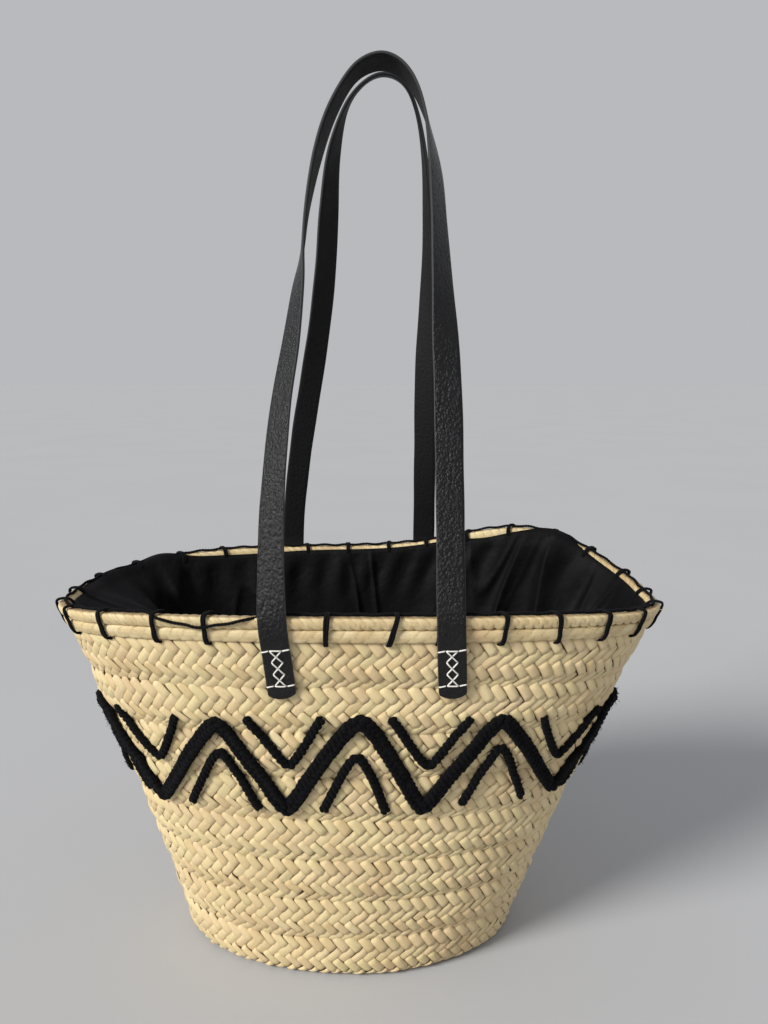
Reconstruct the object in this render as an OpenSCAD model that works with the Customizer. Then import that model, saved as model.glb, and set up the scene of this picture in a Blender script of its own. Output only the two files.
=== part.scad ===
// Market basket: a plaited palm-leaf body sewn up in courses, a two-row rim whipped with black yarn,
// wool embroidery, a cotton lining and two long leather straps. Millimetres, +Z up, +Y to the back,
// origin on the floor under the middle of the basket.

/* [Wall] */
// Height of the rim's two ends above the floor
rim_height = 291; // [240:1:340]
// Half the wall's length at the rim, side to side
top_half_length = 236; // [200:0.5:280]
// Half the wall's width at the rim, front to back
top_half_width = 109; // [90:0.5:130]
// Half the wall's length at the floor
base_half_length = 135.5; // [110:0.5:160]
// Half the wall's width at the floor
base_half_width = 80; // [65:0.5:90]
// How square the plan is at the rim (2 is an ellipse)
top_squareness = 2.66; // [2:0.01:3]
// How square the plan is at the floor
base_squareness = 2.03; // [2:0.01:3]
// How much the side falls in below a straight line, as a share of the flare
hollow = 0.15; // [0:0.01:0.25]
// How far the floor sits to the left of the rim
base_shift = 9.8; // [0:0.1:15]
// Thickness of the plait
plait = 5.5; // [4:0.1:8]
// Number of courses of plait in the wall
courses = 8; // [6:1:10]
// How far each course bellies out between its seams
belly = 2.4; // [0:0.1:4]

/* [Rim line] */
// Rise of the rim at the middle of the front
front_rise = 12; // [0:0.5:25]
// Rise of the rim at the middle of the back
back_rise = 14; // [0:0.5:25]
// Height of the slack hump in the back rim
hump = 24; // [0:0.5:30]
// Where the hump is, to the right of the middle
hump_x = 160; // [100:1:200]
// How wide the hump is
hump_width = 86; // [40:1:100]

/* [Rim] */
// Height of the two rim rows together
rim_rows = 17; // [12:0.5:24]
// How far the rim stands out from the wall
rim_proud = 3; // [1:0.1:5]
// Number of black whip stitches round the rim
whip_stitches = 30; // [20:2:40]
// Thickness of the black rim yarn
yarn = 2.6; // [1.5:0.1:4]

/* [Embroidery] */
// Number of zigzags round the basket
zigzags = 10; // [8:1:12]
// Width of the zigzag braid
zigzag_width = 10.5; // [8:0.5:14]
// Width of the chevrons' cord
chevron_width = 6; // [4:0.5:8]
// How far the embroidery stands out of the wall
wool = 3.6; // [2:0.1:6]

/* [Straps] */
// Width of a leather strap
strap_width = 19.5; // [15:0.5:24]
// Thickness of a leather strap
strap = 2.6; // [2:0.1:4]
// Half the distance between a handle's two legs at the rim
leg_half_spacing = 61; // [50:0.5:75]
// Length of a handle from the rim to the top of its arch
handle_reach = 397; // [300:1:450]
// How far the two handles stay apart where they meet at the top
handle_gap = 2; // [1:0.5:10]
// Length of a strap end below the line where the strap bends at the rim
strap_end = 61; // [52:1:80]

/* [Hidden] */
COURSE_NODES = [for (k = [1:courses]) str("wall_course_", k)];

straw = "#d9c48d";
straw_dark = "#c4a86c";
black_yarn = "#17171a";
black_leather = "#22242a";
thread_white = "#f2efe6";

around = 48;                             // steps round the basket
step = 360 / around;
wall_top = 1 - rim_rows / rim_height;    // share of the height where the wall ends and the rim begins
course_rise = wall_top / courses;
rim_row = (1 - wall_top) / 2;
seam_depth = 1;                          // how far a seam between courses lies under the wall's line
base_plate = 5.5;
foot_round = 6;                          // rounding of the edge between floor and wall
gap = 0.3;                               // clearance between sewn layers
layer = gap / rim_height;                // the same clearance between courses, as a share of the height
cotton = 1.2;
cord = 1.5;
floor_course = 26;                       // width of one course in the floor
floor_inset = plait + gap;
lining_top = wall_top + 0.8 * rim_row;
front_middle = -90;                      // plan angle of the middle of the front

peak_level = 0.742;                      // share of the wall's height at the zigzag's peaks
trough_level = 0.502;
zigzag_sharpness = 0.975;                // 1 is a pure triangle wave
v_top_level = 0.742;
v_point_level = 0.620;
v_half = 0.27;                           // half of a chevron's width, in zigzags
peak_chevron_foot = 0.508;
peak_chevron_point = 0.655;
peak_chevron_half = 0.235;
front_spread = 0.03;                     // how much wider the zigzags are at the front than at the ends
pattern_turn = 0.0025;                   // how far the pattern starts to the right of the middle, in turns
v_turn = 0.02;                           // shift of the upper chevrons to the right, in zigzags

whip_drop = rim_rows + 3.5;              // how far a whip stitch reaches below the rim's edge

hinge_y = top_half_width + rim_proud + gap + strap / 2 - 1;
hinge_z = rim_height + front_rise + 1;
arch_y = strap_width / 2 + handle_gap / 2;
lean = asin((hinge_y - arch_y) / handle_reach);
flex = 5;                                // strap left open on each side of the line where it bends

// Middle line of each handle from its left foot over the arch to its right foot, drawn flat:
// [distance to the right, distance up the leaning plane, turn of the strap in degrees].
// A turned strap's outer side faces away from the loop.
ROUTE_SPACING = 61;                      // leg_half_spacing for which the routes are drawn
ROUTE_REACH = 397;                       // handle_reach for which they are drawn
FRONT_ROUTE = [
    [-57.5, flex, 12], [-58, 70, 24], [-53.5, 140, 38], [-46.5, 190, 48], [-42, 230, 62], [-39, 258, 82],
    [-36, 290, 88], [-29, 328, 96], [-19, 360, 95], [-4, 387, 90], [13, 397, 90], [28, 393, 90],
    [40, 378, 88], [49, 352, 79], [54.5, 318, 62], [57, 280, 54], [59, 240, 42], [61, 200, 22],
    [63, 150, 8], [64, 70, 4], [64.5, flex, 2]];
BACK_ROUTE = [
    [-68.5, flex, 2], [-64, 50, 2], [-55, 110, 6], [-44.5, 165, 14], [-35.5, 215, 27], [-29.5, 260, 37],
    [-26, 300, 47], [-21.5, 340, 64], [-12, 372, 84], [1, 389, 90], [17, 396, 90], [33, 390, 90],
    [43, 371, 90], [49.5, 340, 84], [53, 300, 74], [55, 260, 62], [55, 215, 46], [54.5, 165, 30],
    [55.5, 110, 18], [56.5, 50, 6], [57, 3 * flex, 3]];  // the rim is higher here, so it starts higher
ROUTE_STEPS = 3;                         // sections of strap between two points of a route
end_rounding = 16;                       // radius of a strap end's lower edge
end_tail = 10;                           // strap below the last row of stitches
stitch_rows = 4;
stitch_pitch = 9;
stitch_gauge = 8;
thread = 0.9;

// ---- numbers and vectors ----
function mix(a, b, u) = a + (b - a) * u;
function clamp(v) = min(1, max(0, v));
function smooth(u) = clamp(u) * clamp(u) * (3 - 2 * clamp(u));
function signed_power(v, e) = sign(v) * pow(abs(v), e);
function unit(v) = v / norm(v);

// ---- the basket's wall: angle round the plan, share of the height, and distance out of the surface ----
function flare(u) = u - hollow * u * (1 - u);
function half_length(u) = mix(base_half_length, top_half_length, flare(u));
function half_width(u) = mix(base_half_width, top_half_width, flare(u));
function squareness(u) = mix(base_squareness, top_squareness, u);
function along(angle, u) = signed_power(cos(angle), 2 / squareness(u));
function across(angle, u) = signed_power(sin(angle), 2 / squareness(u));
function hump_rise(x, angle) =
    hump * exp(-pow((x - hump_x) / hump_width, 2)) * clamp(1.5 * sin(angle));
function rim_rise(angle, u) =
    (sin(angle) < 0 ? front_rise : back_rise) * (1 - pow(abs(along(angle, u)), 3.8))
    + hump_rise(half_length(u) * along(angle, u), angle);
function wall_point(angle, u, out = 0) = [
    (half_length(u) + out) * along(angle, u) - base_shift * (1 - u),
    (half_width(u) + out) * across(angle, u),
    rim_height * u + rim_rise(angle, u) * pow(max(u, 0), 1.5)];

// Turns a distance round the wall, as a share of the whole way from the middle of the front, into an angle
PACE = 3;
function pace_length(i, u) =
    norm(wall_point(front_middle + PACE * (i + 1), u) - wall_point(front_middle + PACE * i, u));
function walk(u) =
    [for (i = 0, s = 0; i <= 360 / PACE; s = s + pace_length(i, u), i = i + 1) [s, front_middle + PACE * i]];
function angle_at(share, table) =
    lookup((share - floor(share)) * table[len(table) - 1][0], table) + 360 * floor(share);
EMBROIDERY_WALK = walk(mix(trough_level, peak_level, 0.5));
RIM_WALK = walk(1);

// ---- solids swept from a list of equal sections ----
function side_faces(sections, points, closed) = [
    for (i = [0 : sections - (closed ? 1 : 2)], j = [0 : points - 1], half = [0, 1])
        let (a = i * points, b = ((i + 1) % sections) * points, k = (j + 1) % points)
        half == 0 ? [a + j, b + j, a + k] : [a + k, b + j, b + k]];

module swept_ring(sections) {
    count = len(sections[0]);
    polyhedron([for (s = sections, p = s) p], side_faces(len(sections), count, true));
}

module swept_strip(sections) {
    count = len(sections[0]);
    last = (len(sections) - 1) * count;
    start_cap = [for (j = [1 : count - 2]) [0, j, j + 1]];
    end_cap = [for (j = [1 : count - 2]) [last, last + j + 1, last + j]];
    polyhedron([for (s = sections, p = s) p],
        concat(side_faces(len(sections), count, false), start_cap, end_cap));
}

// A band round the basket; its section is a list of [share of the height, distance out, extra height]
module wall_ring(section) {
    swept_ring([for (i = [0 : around - 1])
        [for (q = section) wall_point(i * step, q[0], q[1]) + [0, 0, len(q) > 2 ? q[2] : 0]]]);
}

// ---- floor: the plait coiled flat, as ovals that grow by one plait width ----
function floor_oval(inset) = [for (i = [0 : around - 1])
    let (p = wall_point(i * step, 0, -inset)) [p[0], p[1]]];

module floor_plate(outer_inset, inner_inset) {
    linear_extrude(base_plate) difference() {
        polygon(floor_oval(outer_inset));
        if (inner_inset > 0) polygon(floor_oval(inner_inset));
    }
}

module base_course_2() color(straw) floor_plate(floor_inset, floor_inset + floor_course);
module base_course_1() color(straw_dark)
    floor_plate(floor_inset + floor_course, floor_inset + 2 * floor_course);
module base_centre() color(straw) floor_plate(floor_inset + 2 * floor_course, 0);

// ---- wall ----
function course_section(u0, u1) = [
    [u0, -seam_depth], [mix(u0, u1, 0.25), belly - seam_depth], [mix(u0, u1, 0.75), belly - seam_depth],
    [u1 - layer, -seam_depth], [u1 - layer, -plait], [u0, -plait]];

// The lowest course stands on the floor and its outer edge is rounded
function foot_section(u1) =
    let (edge = foot_round / rim_height, out = belly - seam_depth) [
    [0, out - 0.8 * foot_round], [edge * 0.35, out - 0.35 * foot_round], [edge, out - 0.05 * foot_round],
    [u1 * 0.7, out], [u1 - layer, -seam_depth], [u1 - layer, -plait], [0, -plait]];

module wall_course(k) {
    top = k * course_rise;
    color(k % 2 == 0 ? straw : straw_dark)
        wall_ring(k == 1 ? foot_section(top) : course_section(top - course_rise, top));
}

// One turn of cord in every seam, buried in the middle of the plait
module sewing_cord() {
    middle = -(plait + seam_depth) / 2;
    half = cord / 2;
    color(straw_dark) for (k = [1 : courses - 1])
        let (u = k * course_rise)
            wall_ring([[u, middle + half, -half], [u, middle + half, half],
                       [u, middle - half, half], [u, middle - half, -half]]);
}

// ---- rim ----
function rim_section(u0, u1, inside, outside) = [
    [u0, outside - 2], [mix(u0, u1, 0.25), outside], [mix(u0, u1, 0.75), outside],
    [u1 - layer, outside - 2], [u1 - layer, inside + 1.5], [mix(u0, u1, 0.6), inside], [u0, inside]];

module rim_band() color(straw) wall_ring(rim_section(wall_top, wall_top + rim_row, -plait, rim_proud));
module rim_roll() color(straw_dark) wall_ring(rim_section(wall_top + rim_row, 1, -plait - 1.2, rim_proud));

module rim_yarn() {
    middle = -plait + 2;
    half = yarn / 2;
    color(black_yarn) wall_ring([
        [1, middle + half, 0.2], [1, middle + half / 2, yarn - 0.4], [1, middle - half / 2, yarn - 0.4],
        [1, middle - half, 0.2], [1, middle - half / 2, -0.6], [1, middle + half / 2, -0.6]]);
}

// A flat loop of yarn over both rim rows and through the wall below them
module whip_loop() {
    outside = rim_proud + yarn * 0.7;
    inside = plait + 1.2 + yarn;
    cut = 3;
    rotate([90, 0, 0]) linear_extrude(yarn + 0.6, center = true) difference() {
        polygon([[outside, -whip_drop + cut], [outside, yarn - cut], [outside - cut, yarn],
                 [cut - inside, yarn], [-inside, yarn - cut], [-inside, -whip_drop + cut],
                 [cut - inside, -whip_drop], [outside - cut, -whip_drop]]);
        polygon([[outside - yarn, -whip_drop + cut], [outside - yarn, -1], [outside - cut - 1, 0.4],
                 [cut + 1 - inside, 0.4], [yarn - inside, -1], [yarn - inside, -whip_drop + cut],
                 [cut + 1 - inside, yarn - whip_drop], [outside - cut - 1, yarn - whip_drop]]);
    }
}

module rim_stitches() {
    color(black_yarn) for (i = [0 : whip_stitches - 1]) {
        angle = angle_at((i + 0.5) / whip_stitches, RIM_WALK);
        ahead = wall_point(angle + 1, 1) - wall_point(angle - 1, 1);
        turn = atan2(ahead[1], ahead[0]) - 90;
        rise = wall_point(angle, 1) - wall_point(angle, wall_top);
        slope = atan2(rise[0] * cos(turn) + rise[1] * sin(turn), rise[2]);
        translate(wall_point(angle, 1)) rotate([0, 0, turn]) rotate([0, slope, 0]) whip_loop();
    }
}

// ---- lining ----
module lining_side() {
    levels = concat([for (k = [1 : courses]) k * course_rise], [lining_top]);
    foot = base_plate + cotton + 2 * gap;
    top = len(levels) - 1;
    color(black_yarn) wall_ring(concat(
        [[0, -plait - gap, foot]], [for (i = [0 : top]) [levels[i], -plait - gap]],
        [for (i = [0 : top]) [levels[top - i], -plait - gap - cotton]], [[0, -plait - gap - cotton, foot]]));
}

module lining_base() {
    color(black_yarn) translate([0, 0, base_plate + gap])
        linear_extrude(cotton) polygon(floor_oval(plait + gap));
}

// ---- embroidery: cords laid on the wall along a line of [share of the way round, share of the height] ----
// Zigzags are counted from the middle of the front, where the first peak is
function zigzag_share(count) =
    let (s = count / zigzags) pattern_turn + s + front_spread / zigzags * sin(720 * s);
function zigzag_level(count) = mix(trough_level, peak_level,
    0.5 + 0.5 * asin(zigzag_sharpness * cos(360 * count)) / asin(zigzag_sharpness));
function chevron_level(offset, half, point, ends) =
    let (r = 0.035) mix(point, ends, (norm([offset, r]) - r) / (norm([half, r]) - r));

function laid_section(line, i, closed, width) =
    let (
        n = len(line),
        before = line[closed ? (i + n - 1) % n : max(i - 1, 0)],
        after = line[closed ? (i + 1) % n : min(i + 1, n - 1)],
        p = wall_point(angle_at(line[i][0], EMBROIDERY_WALK), line[i][1], belly / 2),
        q = wall_point(angle_at(line[i][0], EMBROIDERY_WALK), line[i][1], belly / 2 + 1),
        ahead = unit(wall_point(angle_at(after[0], EMBROIDERY_WALK), after[1])
                   - wall_point(angle_at(before[0], EMBROIDERY_WALK), before[1])),
        side = unit(cross(q - p, ahead)),
        out = cross(ahead, side),
        edge = side * width / 2,
        shoulder = out * wool * 0.4)
    [p + edge - out * 2, p + edge + shoulder, p + edge / 2 + out * wool,
     p - edge / 2 + out * wool, p - edge + shoulder, p - edge - out * 2];

module zigzag_braid() {
    steps = 12;
    line = [for (i = [0 : zigzags * steps - 1]) [zigzag_share(i / steps), zigzag_level(i / steps)]];
    color(black_yarn) swept_ring([for (i = [0 : len(line) - 1]) laid_section(line, i, true, zigzag_width)]);
}

module chevrons(start, half, point, ends) {
    steps = 8;
    color(black_yarn) for (k = [0 : zigzags - 1]) {
        line = [for (i = [0 : steps])
            let (offset = half * (2 * i / steps - 1))
            [zigzag_share(k + start + offset), chevron_level(offset, half, point, ends)]];
        swept_strip([for (i = [0 : steps]) laid_section(line, i, false, chevron_width)]);
    }
}

module upper_chevrons() chevrons(0.5 + v_turn, v_half, v_point_level, v_top_level);
module lower_chevrons() chevrons(0, peak_chevron_half, peak_chevron_point, peak_chevron_foot);

// ---- straps: side is -1 for the front handle and 1 for the back one ----
// The arch leans in over the basket. Its feet lie flat on the wall, and each leg turns a quarter
// so that the strap bends over the arch on its flat side.
function lean_dir(side) = [0, -side * sin(lean), cos(lean)];
function out_dir(side) = [0, side * cos(lean), sin(lean)];

// The route as a smooth curve (Catmull-Rom), carried on in a straight line past its two ends
function route_end(a, b) = 2 * a - b;
function route_knot(route, i) =
    i < 0 ? route_end(route[0], route[1])
    : i >= len(route) ? route_end(route[len(route) - 1], route[len(route) - 2]) : route[i];
function route_at(route, v) =
    let (
        i = min(len(route) - 2, max(0, floor(v))), t = v - i,
        a = route_knot(route, i - 1), b = route[i], c = route[i + 1], d = route_knot(route, i + 2))
    b + (c - a) * t / 2 + (2 * a - 5 * b + 4 * c - d) * t * t / 2 + (3 * b - a - 3 * c + d) * t * t * t / 2;
function strap_place(side, q) =
    [q[0] * leg_half_spacing / ROUTE_SPACING, side * hinge_y, hinge_z]
    + lean_dir(side) * q[1] * handle_reach / ROUTE_REACH;

function strap_section(side, route, v) =
    let (
        q = route_at(route, v),
        p = strap_place(side, q),
        before = strap_place(side, route_at(route, v - 0.05)),
        after = strap_place(side, route_at(route, v + 0.05)),
        ahead = unit(after - before),
        out = out_dir(side),
        away = unit(cross(out, ahead)) * -side,
        face = out * cos(q[2]) + away * sin(q[2]),
        wide = cross(ahead, face) * strap_width / 2,
        thick = face * strap / 2)
    [p - wide - thick, p + wide - thick, p + wide + thick, p - wide + thick];

module strap_loop(side, route) {
    last = ROUTE_STEPS * (len(route) - 1);
    color(black_leather) swept_strip([for (i = [0 : last]) strap_section(side, route, i / ROUTE_STEPS)]);
}

module front_strap() strap_loop(-1, FRONT_ROUTE);
module back_strap() strap_loop(1, BACK_ROUTE);

// ---- strap ends: the sewn lengths of strap outside the wall, which bend in below the rim ----
// side, the leg's place along the rim, and how far its lower end drifts to the right
function foot_x(route, i) = route[i][0] * leg_half_spacing / ROUTE_SPACING;
FRONT_LEFT = [-1, foot_x(FRONT_ROUTE, 0), 6];
FRONT_RIGHT = [-1, foot_x(FRONT_ROUTE, len(FRONT_ROUTE) - 1), 3];
BACK_LEFT = [1, foot_x(BACK_ROUTE, 0), 2];
BACK_RIGHT = [1, foot_x(BACK_ROUTE, len(BACK_ROUTE) - 1), -2];

function wall_y(x, u, out) = (half_width(u) + out)
    * pow(1 - pow(abs(x + base_shift * (1 - u)) / (half_length(u) + out), squareness(u)), 1 / squareness(u));
function end_middle(end, drop, lift) =
    let (
        z = hinge_z - drop,
        x = end[1] + end[2] * drop / strap_end,
        u = z / (rim_height + front_rise),
        rest = mix(rim_proud, belly - seam_depth, smooth((drop - rim_rows) / rim_rows)))
    [x, end[0] * min(hinge_y + lift, wall_y(x, u, rest + 2 * gap + strap / 2 + lift)), z];
function end_half(drop) =
    let (up = strap_end - drop)
    up >= end_rounding ? strap_width / 2
    : min(strap_width / 2, sqrt(pow(end_rounding, 2) - pow(end_rounding - up, 2)));

module strap_end_piece(end) {
    drops = concat([for (d = [flex : 6 : strap_end - 8]) d], [for (e = [3.6, 2, 1, 0.3]) strap_end - e]);
    color(black_leather) swept_strip([for (d = drops)
        let (
            inner = end_middle(end, d, -strap / 2),
            outer = end_middle(end, d, strap / 2),
            w = [-end[0] * end_half(d), 0, 0])
        [inner - w, inner + w, outer + w, outer - w]]);
}

module rod(a, b, d) {
    v = b - a;
    translate(a) rotate([0, acos(v[2] / norm(v)), atan2(v[1], v[0])]) cylinder(h = norm(v), d = d, $fn = 6);
}

// Three crosses between two columns of holes, and a row of dashes above and below them
module strap_stitching(end) {
    function hole(column, row, lift = 0) =
        end_middle(end, strap_end - end_tail - row * stitch_pitch, strap / 2 + lift)
        + [column * stitch_gauge / 2, 0, 0];
    color(thread_white) {
        for (row = [0 : stitch_rows - 2], column = [-1, 1])
            rod(hole(column, row, column * thread / 4), hole(-column, row + 1, column * thread / 4), thread);
        for (row = [0, stitch_rows - 1]) {
            rod(hole(-1, row), hole(1, row), thread);
            for (column = [-1, 1])
                rod(hole(column * 1.15, row), hole(column * strap_width / stitch_gauge, row), thread);
        }
    }
}

module front_left_strap_end() strap_end_piece(FRONT_LEFT);
module front_right_strap_end() strap_end_piece(FRONT_RIGHT);
module back_left_strap_end() strap_end_piece(BACK_LEFT);
module back_right_strap_end() strap_end_piece(BACK_RIGHT);
module front_left_stitching() strap_stitching(FRONT_LEFT);
module front_right_stitching() strap_stitching(FRONT_RIGHT);
module back_left_stitching() strap_stitching(BACK_LEFT);
module back_right_stitching() strap_stitching(BACK_RIGHT);

base_centre();
base_course_1();
base_course_2();
for (k = [1 : courses])
    wall_course(k);
sewing_cord();
rim_band();
rim_roll();
rim_yarn();
rim_stitches();
lining_base();
lining_side();
zigzag_braid();
upper_chevrons();
lower_chevrons();
front_strap();
back_strap();
front_left_strap_end();
front_right_strap_end();
back_left_strap_end();
back_right_strap_end();
front_left_stitching();
front_right_stitching();
back_left_stitching();
back_right_stitching();
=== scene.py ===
"""Looks of the market basket: plait built strand by strand, rim, stitches, wool, lining and leather straps.
Lengths are in millimetres until make_mesh(). Angles round the plan are in degrees, and -90 is the front."""

import math

import bpy
import numpy as np
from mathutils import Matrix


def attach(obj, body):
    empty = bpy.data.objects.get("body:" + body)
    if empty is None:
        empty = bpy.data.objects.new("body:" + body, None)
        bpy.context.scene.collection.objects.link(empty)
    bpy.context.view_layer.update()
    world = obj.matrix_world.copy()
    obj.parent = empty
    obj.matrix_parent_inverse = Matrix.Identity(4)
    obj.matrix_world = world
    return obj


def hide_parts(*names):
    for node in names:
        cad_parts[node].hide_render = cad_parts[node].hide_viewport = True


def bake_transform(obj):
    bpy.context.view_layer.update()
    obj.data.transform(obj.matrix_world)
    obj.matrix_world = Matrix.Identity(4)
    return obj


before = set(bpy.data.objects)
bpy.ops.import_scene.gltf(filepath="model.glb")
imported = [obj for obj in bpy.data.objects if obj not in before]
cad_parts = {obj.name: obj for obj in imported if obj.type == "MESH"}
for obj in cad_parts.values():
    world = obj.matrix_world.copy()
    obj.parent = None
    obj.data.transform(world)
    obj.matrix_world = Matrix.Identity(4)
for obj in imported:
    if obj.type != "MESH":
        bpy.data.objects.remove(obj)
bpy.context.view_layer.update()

scene = bpy.context.scene
MM = 0.001
TURN = 2 * math.pi
RNG = np.random.default_rng(20)

# ---- the basket's driving sizes, as in the frame ----
RIM_HEIGHT = 291.0  # at the ends of the mouth
TOP_HALF = (236.0, 109.0)  # half length and half width of the mouth
BASE_HALF = (135.5, 80.0)  # and of the floor
SQUARENESS = (2.03, 2.66)  # power of the oval at the floor and at the mouth
HOLLOW = 0.15  # how much the sides curve in between the two
BASE_SHIFT = 9.8  # the floor lies this far to the left
COURSES = 8
BELLY = 2.4  # how far a course swells between its seams
SEAM_DEPTH = 1.0
PLAIT = 5.5  # thickness of the wall
FRONT_RISE, BACK_RISE = 12.0, 14.0  # the handles pull up the middle of the rim
RISE_POWER = 3.8  # how square that rise is along the rim
RISE_SHARE = 1.5  # how quickly it fades down the wall
HUMP, HUMP_X, HUMP_WIDTH = 24.0, 160.0, 86.0  # the slack hump in the back rim
RIM_ROWS = 17.0  # height of the rim's two rows together
RIM_PROUD = 3.0  # how far they stand out of the wall
WALL_TOP = 1 - RIM_ROWS / RIM_HEIGHT
COURSE_RISE = WALL_TOP / COURSES
RIM_ROW = (1 - WALL_TOP) / 2
WHIP_STITCHES = 30
FRONT_MIDDLE = -90.0

# ---- the straps, as in the frame ----
STRAP_WIDTH, STRAP = 19.5, 2.6
HINGE_Y = TOP_HALF[1] + RIM_PROUD + STRAP / 2 - 0.7
HINGE_Z = RIM_HEIGHT + FRONT_RISE + 1
ARCH_Y = STRAP_WIDTH / 2 + 1  # the two handles stay 2 mm apart at the top
REACH = 397.0  # from the hinge line to the top
LEAN = math.asin((HINGE_Y - ARCH_Y) / REACH)
STRAP_END = 61.0  # length of a sewn end
END_ROUNDING = 16.0
END_TAIL = 10.0  # from the stitches to the tip
# [to the right, up the leaning plane, turn of the strap in degrees], from the left foot to the right one
FRONT_ROUTE = [
    (-57.5, 5, 12), (-58, 70, 24), (-53.5, 140, 38), (-46.5, 190, 48), (-42, 230, 62), (-39, 258, 82),
    (-36, 290, 88), (-29, 328, 96), (-19, 360, 95), (-4, 387, 90), (13, 397, 90), (28, 393, 90),
    (40, 378, 88), (49, 352, 79), (54.5, 318, 62), (57, 280, 54), (59, 240, 42), (61, 200, 22),
    (63, 150, 8), (64, 70, 4), (64.5, 5, 2)]
BACK_ROUTE = [
    (-68.5, 5, 2), (-64, 50, 2), (-55, 110, 6), (-44.5, 165, 14), (-35.5, 215, 27), (-29.5, 260, 37),
    (-26, 300, 47), (-21.5, 340, 64), (-12, 372, 84), (1, 389, 90), (17, 396, 90), (33, 390, 90),
    (43, 371, 90), (49.5, 340, 84), (53, 300, 74), (55, 260, 62), (55, 215, 46), (54.5, 165, 30),
    (55.5, 110, 18), (56.5, 50, 6), (57, 15, 3)]
# how far each sewn end's tip drifts to the right, by side (-1 front, 1 back) and foot (0 left, -1 right)
FOOT_DRIFT = {(-1, 0): 6.0, (-1, -1): 3.0, (1, 0): 2.0, (1, -1): -2.0}


# ---- numbers ----
def mix(a, b, t):
    return a + (b - a) * t


def smooth(t):
    t = np.clip(t, 0, 1)
    return t * t * (3 - 2 * t)


def signed_power(v, e):
    return np.sign(v) * np.abs(v) ** e


def shares(count):
    """Even places round a ring, from 0 to just short of 1."""
    return np.linspace(0, 1, count, endpoint=False)


def columns(*values):
    """Numbers or grids of numbers side by side, as points."""
    return np.stack(np.broadcast_arrays(*values), -1)


def unit(v):
    return v / np.maximum(np.linalg.norm(v, axis=-1, keepdims=True), 1e-9)


def travelled(line):
    """The distance along a line at each of its points."""
    return np.concatenate([[0], np.cumsum(np.linalg.norm(np.diff(line, axis=0), axis=1))])


def headings(line, closed):
    """The direction of a line at each of its points."""
    if closed:
        return unit(np.roll(line, -1, 0) - np.roll(line, 1, 0))
    return unit(np.vstack([line[1:], line[-1:]]) - np.vstack([line[:1], line[:-1]]))


# ---- the wall's surface ----
def plan(angle, u):
    """Half length, half width, and how far along and across the plan a point at this angle lies."""
    flare = u - HOLLOW * u * (1 - u)
    power = 2 / mix(*SQUARENESS, u)
    t = np.radians(angle)
    along = signed_power(np.cos(t), power)
    across = signed_power(np.sin(t), power)
    return mix(BASE_HALF[0], TOP_HALF[0], flare), mix(BASE_HALF[1], TOP_HALF[1], flare), along, across


def wall(angle, u, out=0.0):
    """Points of the wall at plan angles, shares of the height and distances out, in millimetres."""
    angle, u, out = np.broadcast_arrays(*(np.asarray(v, float) for v in (angle, u, out)))
    length, width, along, across = plan(angle, u)
    at_back = np.sin(np.radians(angle))
    rise = np.where(at_back < 0, FRONT_RISE, BACK_RISE) * (1 - np.abs(along) ** RISE_POWER)
    hump = HUMP * np.exp(-(((length * along - HUMP_X) / HUMP_WIDTH) ** 2)) * np.clip(1.5 * at_back, 0, 1)
    x = (length + out) * along - BASE_SHIFT * (1 - u)
    y = (width + out) * across
    z = RIM_HEIGHT * u + (rise + hump) * np.maximum(u, 0) ** RISE_SHARE
    return columns(x, y, z)


WALK_STEPS = 1440


def walk(surface):
    """Angle at each share of the way round, by arc length, and the whole length."""
    angles = FRONT_MIDDLE + np.linspace(0, 360, WALK_STEPS + 1)
    gone = travelled(surface(angles))
    return gone / gone[-1], angles, gone[-1]


def angle_at(share, table):
    turns = np.floor(share)
    return np.interp(share - turns, table[0], table[1]) + 360 * turns


RIM_WALK = walk(lambda a: wall(a, 1.0))


def on_wall(angle, u, out):
    """Points of the wall, and the direction out of it there."""
    line = wall(angle, u, out)
    return line, unit(wall(angle, u, out + 1) - line)


# ---- meshes ----
def make_mesh(name, points, faces, material, attributes=None):
    """One object from points in millimetres, quads or triangles, and per-vertex attributes."""
    mesh = bpy.data.meshes.new(name)
    points = np.asarray(points, float).reshape(-1, 3) * MM
    faces = [np.asarray(f) for f in (faces if isinstance(faces, list) else [faces])]
    counts = np.concatenate([np.full(len(f), f.shape[1]) for f in faces])
    corners = np.concatenate([f.ravel() for f in faces])
    mesh.vertices.add(len(points))
    mesh.vertices.foreach_set("co", points.ravel())
    mesh.loops.add(len(corners))
    mesh.loops.foreach_set("vertex_index", corners.astype(np.int32))
    mesh.polygons.add(len(counts))
    mesh.polygons.foreach_set("loop_start", (np.cumsum(counts) - counts).astype(np.int32))
    mesh.polygons.foreach_set("loop_total", counts.astype(np.int32))
    mesh.update(calc_edges=True)
    mesh.polygons.foreach_set("use_smooth", np.ones(len(counts), bool))
    for key, values in (attributes or {}).items():
        values = np.asarray(values, np.float32).ravel()
        kind, field = ("FLOAT", "value") if len(values) == len(points) else ("FLOAT_VECTOR", "vector")
        mesh.attributes.new(key, kind, "POINT").data.foreach_set(field, values)
    mesh.materials.append(material)
    thing = bpy.data.objects.new(name, mesh)
    scene.collection.objects.link(thing)
    return thing


def grid_faces(rows, columns, wrap_rows=False, wrap_columns=False):
    r = np.arange(rows if wrap_rows else rows - 1)
    c = np.arange(columns if wrap_columns else columns - 1)
    r, c = np.meshgrid(r, c, indexing="ij")
    r2, c2 = (r + 1) % rows, (c + 1) % columns
    quad = np.stack([r * columns + c, r * columns + c2, r2 * columns + c2, r2 * columns + c], -1)
    return quad.reshape(-1, 4)


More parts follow.
